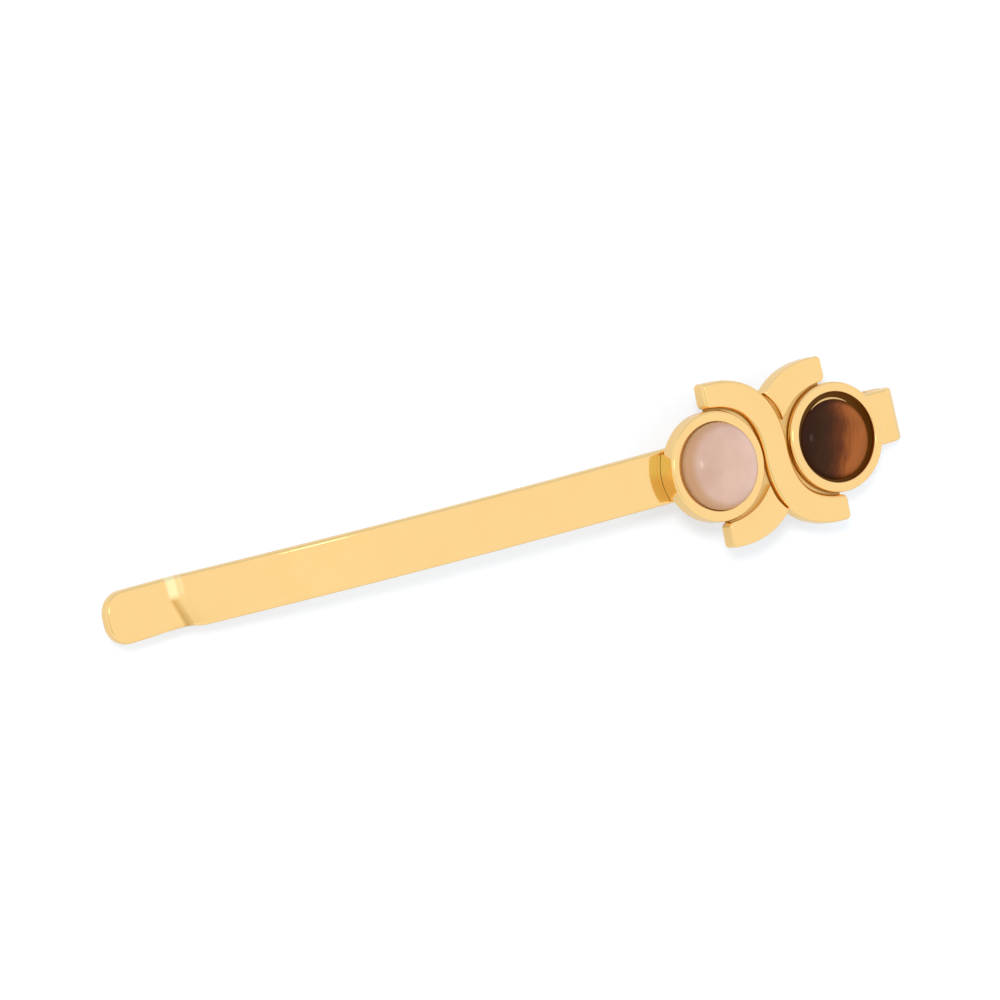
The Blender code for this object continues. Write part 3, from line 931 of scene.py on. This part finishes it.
def cabochon(radius, girdle, dome):
    shape = bmesh.new()
    bmesh.ops.create_uvsphere(shape, u_segments=128, v_segments=96, radius=1)
    size = Matrix.Diagonal((radius, radius, dome, 1))
    bmesh.ops.transform(shape, matrix=size, verts=shape.verts)
    everything = shape.verts[:] + shape.edges[:] + shape.faces[:]
    bmesh.ops.bisect_plane(
        shape,
        geom=everything,
        dist=CUT_TOLERANCE,
        plane_co=(0, 0, 0),
        plane_no=(0, 0, -1),
        clear_outer=True,
    )
    bmesh.ops.translate(shape, vec=(0, 0, FOOT + girdle), verts=shape.verts)
    rim = [edge for edge in shape.edges if edge.is_boundary]
    drawn = bmesh.ops.extrude_edge_only(shape, edges=rim)["geom"]
    lower = [item for item in drawn if isinstance(item, bmesh.types.BMVert)]
    bmesh.ops.translate(shape, vec=(0, 0, -girdle), verts=lower)
    back = [edge for edge in shape.edges if edge.is_boundary]
    bmesh.ops.contextual_create(shape, geom=back)
    bmesh.ops.recalc_face_normals(shape, faces=shape.faces)
    round_edges(shape, sharp_edges(shape), STONE_FOOT_ROUND, segments=3)
    return shape


# %% [markdown]
# Near its edge each stone carries painted light: the pink one a painted reflection of the gold of its
# collar, and the brown one painted shade that makes it darker. Both are a colour that comes in towards the
# rim, by the distance from the middle of the stone.

# %% Paint light and shade in towards the rim
RIM_STRENGTH = 0.85


def paint_light_towards_rim(tree, place, radius, shift, start, inner, rim_colour):
    """Mixes a rim colour of painted light in from a share of the radius on: shift, in radii, moves its
    middle.
    """
    flat = vector_maths(tree, "MULTIPLY_ADD", place, (1 / radius, 1 / radius, 0), (*shift, 0))
    reach = vector_maths(tree, "LENGTH", flat["Vector"])["Value"]
    rim = map_range(tree, reach, start, 1.0, 0.0, RIM_STRENGTH, smooth=True)
    return mix_colours(tree, rim, inner, rim_colour)


# %% [markdown]
# The pink stone is milky: light goes a little way in and comes out softened, which is what subsurface
# scattering does. It is paler towards the brown stone, and faint clouds drift through it.

# %% Make the pink stone
PINK_RADIUS = COLLAR_RADIUS - PINK_WALL - STONE_SLACK
PINK_PALE = (0.70, 0.47, 0.385, 1.0)
PINK_DEEP = (0.50, 0.315, 0.235, 1.0)
# Painted reflection: the gold collar seen in the stone near its rim, strongest on its left.
PINK_COLLAR_REFLECTION = (0.47, 0.25, 0.115, 1.0)
PINK_GIRDLE = 1.18 * MM
PINK_DOME = 0.85 * MM
PINK_FADE = 0.75 * PINK_RADIUS
CLOUD_SIZE = 3.2 * MM
CLOUD_DEPTH = 0.3


def pink_stone_material(matrix):
    look = {
        "Roughness": 0.14,
        "IOR": 1.5,
        "Specular IOR Level": 0.45,
        "Subsurface Weight": 0.35,
        "Subsurface Radius": (1.0, 0.6, 0.45),
        "Subsurface Scale": 0.5 * MM,
    }
    made, tree, shader = new_material("pink_stone_polish", look)
    place = object_coordinates(tree, matrix)
    clouds = sway(tree, noise(tree, place, CLOUD_SIZE, detail=3.0), CLOUD_DEPTH)
    side = map_range(tree, split_xyz(tree, place)["X"], -PINK_FADE, PINK_FADE, 0.9, 0.1)
    tone = mix_colours(tree, maths(tree, "ADD", clouds, side, clamp=True), PINK_PALE, PINK_DEEP)
    edged = paint_light_towards_rim(tree, place, PINK_RADIUS, (-0.07, 0.0), 0.80, tone, PINK_COLLAR_REFLECTION)
    feed(tree, shader.inputs["Base Color"], edged)
    return made


pink_place = ornament_frame @ Matrix.Translation(pink_centre)
pink_stone = finish_piece(
    "pink_cabochon",
    cabochon(PINK_RADIUS, PINK_GIRDLE, PINK_DOME),
    pink_place,
    "slide",
    pink_stone_material(pink_place),
    "pink_stone",
    "pink_stone",
)
print("pink stone has", len(pink_stone.data.polygons), "faces")

# %% [markdown]
# The brown stone is built of fine parallel fibres that lie in bands, dark to one side and amber to the
# other. A ramp of browns runs square to the bands, a slow noise bends them, and a noise drawn out along
# them gives the silky fibres.

# %% Make the brown stone
BROWN_RADIUS = 2.46 * MM
BROWN_SHIFT = Vector((0.10, -0.13, 0)) * MM
BROWN_GIRDLE = 0.45 * MM
BROWN_DOME = 0.6 * MM
BAND_TURN = math.radians(-15)
BEND_SIZE = 2.6 * MM
BEND_DEPTH = 0.09
FIBRE_SIZE = 0.22 * MM
FIBRE_DEPTH = 0.06
FIBRE_STRETCH = (1, 0.12, 1)
# Painted shade: the stone darkens towards its rim.
BROWN_RIM_SHADE = (0.035, 0.010, 0.004, 1.0)
BROWN_BANDS = [
    (0.00, (0.025, 0.009, 0.004, 1.0)),
    (0.30, (0.042, 0.015, 0.006, 1.0)),
    (0.42, (0.068, 0.020, 0.007, 1.0)),
    (0.50, (0.105, 0.026, 0.008, 1.0)),
    (0.58, (0.155, 0.041, 0.011, 1.0)),
    (0.68, (0.280, 0.078, 0.017, 1.0)),
    (0.80, (0.340, 0.100, 0.022, 1.0)),
    (1.00, (0.290, 0.090, 0.024, 1.0)),
]


def brown_stone_material(matrix):
    look = {"Roughness": 0.1, "IOR": 1.3, "Specular IOR Level": 0.2}
    made, tree, shader = new_material("brown_stone_polish", look)
    turned = matrix @ Matrix.Rotation(BAND_TURN, 4, "Z")
    plain = object_coordinates(tree, turned)
    drawn = object_coordinates(tree, turned, FIBRE_STRETCH)
    across = map_range(tree, split_xyz(tree, plain)["X"], -BROWN_RADIUS, BROWN_RADIUS, 0.0, 1.0)
    bend = sway(tree, noise(tree, plain, BEND_SIZE), BEND_DEPTH)
    fibres = noise(tree, drawn, FIBRE_SIZE, detail=4.0, roughness=0.6)
    frayed = maths(tree, "ADD", maths(tree, "ADD", across, bend), sway(tree, fibres, FIBRE_DEPTH))
    bands = colour_ramp(tree, frayed, BROWN_BANDS)
    edged = paint_light_towards_rim(tree, plain, BROWN_RADIUS, (-0.05, 0.02), 0.84, bands, BROWN_RIM_SHADE)
    feed(tree, shader.inputs["Base Color"], edged)
    return made


brown_place = ornament_frame @ Matrix.Translation(brown_centre + BROWN_SHIFT)
brown_stone = finish_piece(
    "brown_cabochon",
    cabochon(BROWN_RADIUS, BROWN_GIRDLE, BROWN_DOME),
    brown_place,
    "slide",
    brown_stone_material(brown_place),
    "brown_stone",
    "brown_stone",
)
print("brown stone has", len(brown_stone.data.polygons), "faces")

# %% [markdown]
# One band runs right through the ornament in an S, over the pink stone, between the two collars and
# under the brown one. Two short arms complete the crossing. Half of the S is a Bezier curve, and half a
# turn about the middle gives the other half. Along it the band narrows at the waist and swells again.
# No section stands close beside an end, so that the corners there have room to be rounded.

# %% Route of the bands
BAND_HEIGHT = 0.9 * MM
BAND_ROUND = 0.25 * MM
BAND_CORNER = 0.30 * MM
BAND_END_WIDTH = 1.53 * MM
BAND_WAIST_GROOVE = 0.19 * MM
BAND_WAIST_WIDTH = STONE_PITCH - 2 * (COLLAR_RADIUS + BAND_WAIST_GROOVE)
BAND_END_GROOVE = 0.15 * MM
BAND_SWELL = 0.2 * MM
BAND_SQUARENESS = 0.68
BAND_STEPS = 60
BAND_END_STEPS = 8
BAND_SHARP_ABOVE = FOOT + 0.2 * MM
BESIDE_ARM = (-0.1, 0.28, 0.5)        # from, middle and to, in shares of half the band
BAND_END = Vector((STONE_PITCH / 2, COLLAR_RADIUS + BAND_END_GROOVE + BAND_END_WIDTH / 2))


def band_station(point, onward, width, height):
    """Where a band's section lies: it stands on the plate, square to the route."""
    onward = onward.normalized()
    turned = Matrix(((onward.x, -onward.y, 0), (onward.y, onward.x, 0), (0, 0, 1))).to_4x4()
    place = Matrix.Translation((point.x, point.y, FOOT + height / 2))
    return place @ turned @ Matrix.Diagonal((1, width, height, 1))


def onward_at(points, index):
    return points[min(index + 1, len(points) - 1)] - points[max(index - 1, 0)]


def through_stations(clearance=0.0, groove=0.0, extra_height=0.0):
    """The through band's route. A cutter is wider by the clearance, and beside an arm by the groove."""
    handle = BAND_SQUARENESS * BAND_END
    end = Vector((BAND_END.x, -BAND_END.y))
    before_end = (end.x - handle.x, end.y)
    curve = interpolate_bezier((0, 0), (0, -handle.y), before_end, end, BAND_STEPS + 1)
    half = [point.xy for point in curve]
    points = [-point for point in reversed(half[1:])] + half
    stations = []
    for index, point in enumerate(points):
        if 0 < index < BAND_END_STEPS or BAND_END_STEPS > 2 * BAND_STEPS - index > 0:
            continue
        share = abs(index - BAND_STEPS) / BAND_STEPS
        width = BAND_WAIST_WIDTH + (BAND_END_WIDTH - BAND_WAIST_WIDTH) * share
        width += BAND_SWELL * math.sin(math.pi * share)
        width += 2 * (clearance + groove * hump(share, *BESIDE_ARM))
        height = BAND_HEIGHT + extra_height
        stations.append(band_station(point, onward_at(points, index), width, height))
    return stations


def make_through_band():
    shape = bmesh.new()
    first, last = sweep(shape, through_stations())
    up = Vector((0, 0, 1))
    round_edges(shape, upright_edges(first, up) + upright_edges(last, up), BAND_CORNER, segments=8)
    round_edges(shape, edges_above(sharp_edges(shape), BAND_SHARP_ABOVE), BAND_ROUND, segments=6)
    piece = finish_piece(
        "through_band", shape, ornament_frame, "slide", ornament_gold, "gold_plate", "over_band"
    )
    lead_with_flats(piece)
    return piece


through_band = make_through_band()
print("through band has", len(through_band.data.polygons), "faces")

# %% [markdown]
# Each arm ends beside the through band, and a groove keeps the two apart. An arm is drawn too long, and
# a Boolean trims it with a copy of the band that the groove has widened, so that its end follows the
# band's curve. Towards its root the arm spreads on the side of the collar.

# %% Model the arms
ARM_ROOT = Vector((0, COLLAR_RADIUS - 0.78 * MM))
ARM_ROOT_ANGLE = math.radians(45)
ARM_ROOT_HANDLE = 1.8 * MM
ARM_ROOT_SPREAD = 0.45 * MM
ARM_END_HANDLE = 1.9 * MM
ARM_GROOVE = 0.18 * MM
ARM_ROUND = 0.11 * MM
ARM_CORNER_ROOM = 0.36 * MM
ARM_FLATNESS = math.radians(0.3)


def arm_stations():
    lead = Vector((math.cos(ARM_ROOT_ANGLE), math.sin(ARM_ROOT_ANGLE))) * ARM_ROOT_HANDLE
    before_end = BAND_END - Vector((ARM_END_HANDLE, 0))
    curve = interpolate_bezier(ARM_ROOT, ARM_ROOT + lead, before_end, BAND_END, BAND_STEPS + 1)
    points = [point.xy for point in curve]
    stations = []
    for index, point in enumerate(points):
        if BAND_END_STEPS > BAND_STEPS - index > 0:
            continue
        share = index / BAND_STEPS
        spread = ARM_ROOT_SPREAD * (1 - share) ** 2
        onward = onward_at(points, index).normalized()
        to_collar = Vector((onward.y, -onward.x))
        width = BAND_END_WIDTH + BAND_SWELL * math.sin(math.pi * share) + spread
        stations.append(band_station(point + to_collar * spread / 2, onward, width, BAND_HEIGHT))
    return stations


def clear_corners(shape):
    """Takes the wall's fine steps away beside the root's pointed corners, so that rounding fits in."""
    upright = [
        edge for edge in shape.edges if abs(edge.verts[0].co.z - edge.verts[1].co.z) > BAND_HEIGHT / 2
    ]
    corners = [
        edge for edge in sharp_edges(shape) if edge in upright and edge.verts[0].co.x < BAND_END.x / 2
    ]
    places = [edge.verts[0].co.xy for edge in corners]
    near = [
        edge
        for edge in upright
        if edge not in corners
        and min((edge.verts[0].co.xy - place).length for place in places) < ARM_CORNER_ROOM
    ]
    print("arm root has", len(corners), "corners,", len(near), "steps taken away")
    bmesh.ops.dissolve_edges(shape, edges=near, use_verts=True)


def make_arm(name, turn, replaced):
    shape = bmesh.new()
    _, last = sweep(shape, arm_stations())
    round_edges(shape, upright_edges(last, Vector((0, 0, 1))), BAND_CORNER, segments=8)
    cutter = bmesh.new()
    sweep(cutter, through_stations(SEAM, ARM_GROOVE, BAND_HEIGHT))
    shape = subtract(shape, cutter)
    bmesh.ops.dissolve_limit(shape, angle_limit=ARM_FLATNESS, verts=shape.verts, edges=shape.edges)
    clear_corners(shape)
    round_edges(shape, edges_above(sharp_edges(shape), BAND_SHARP_ABOVE), ARM_ROUND, segments=5)
    place = ornament_frame @ Matrix.Rotation(turn, 4, "Z")
    piece = finish_piece(name, shape, place, "slide", ornament_gold, "gold_plate", replaced)
    lead_with_flats(piece)
    return piece


upper_arm = make_arm("upper_arm_band", 0.0, "upper_arm")
lower_arm = make_arm("lower_arm_band", math.pi, "lower_arm")
print("arms have", len(upper_arm.data.polygons), "and", len(lower_arm.data.polygons), "faces")

# %% [markdown]
# Solder fills the ground between the collars and the bands, so the grooves of the real ornament are
# shallow and their floor shines. It is a low block that the bands hide from outside. It stops just
# short of the walls, and in the narrow gaps that this leaves one sees a lower block, coloured dark as
# painted shade for those gaps.

# %% Model the floor of the grooves
GROOVE_FLOOR = FOOT + 0.58 * MM
GROOVE_BED = FOOT + 0.49 * MM
# Painted shade: the lower block's dark colour stands for the shade in the narrow gaps beside the walls.
BED_SHADE_COLOUR = (0.44, 0.25, 0.075, 1.0)
FLOOR_REACH = Vector((4.1, 3.55)) * MM
WALL_GAP = 0.09 * MM


def floor_block(name, top, room, material, band_gap=None):
    """A block on the plate, with the collars' cylinders and, given a gap, the through band cut out."""
    shape = bmesh.new()
    bmesh.ops.create_cube(shape, size=1)
    height = top - PLATE_TOP
    size = Matrix.Diagonal((2 * FLOOR_REACH.x, 2 * FLOOR_REACH.y, height, 1))
    lift = Matrix.Translation((0, 0, PLATE_TOP + height / 2))
    bmesh.ops.transform(shape, matrix=lift @ size, verts=shape.verts)
    for centre in (pink_centre, brown_centre):
        cylinder = bmesh.new()
        bmesh.ops.create_cone(
            cylinder, cap_ends=True, segments=96, radius1=room, radius2=room, depth=4 * COLLAR_HEIGHT
        )
        bmesh.ops.translate(cylinder, vec=(centre.x, 0, PLATE_TOP), verts=cylinder.verts)
        shape = subtract(shape, cylinder)
    if band_gap is not None:
        cutter = bmesh.new()
        sweep(cutter, through_stations(band_gap, extra_height=BAND_HEIGHT))
        shape = subtract(shape, cutter)
    return finish_piece(name, shape, ornament_frame, "slide", material, "gold_plate")


floor_room = COLLAR_RADIUS + WALL_GAP
groove_floor = floor_block("groove_floor", GROOVE_FLOOR, floor_room, painted_shade_gold, WALL_GAP)
# Painted shade: a dark gold for the block seen in the gaps.
bed_shade_gold = gold_plate("gold_plate_bed_shade", ornament_frame, 2, (BED_SHADE_COLOUR, BED_SHADE_COLOUR), UNPOLISHED)
groove_bed = floor_block("groove_bed", GROOVE_BED, COLLAR_RADIUS - UNDER_COLLAR, bed_shade_gold)
print("floor and bed have", len(groove_floor.data.polygons), "and", len(groove_bed.data.polygons), "faces")
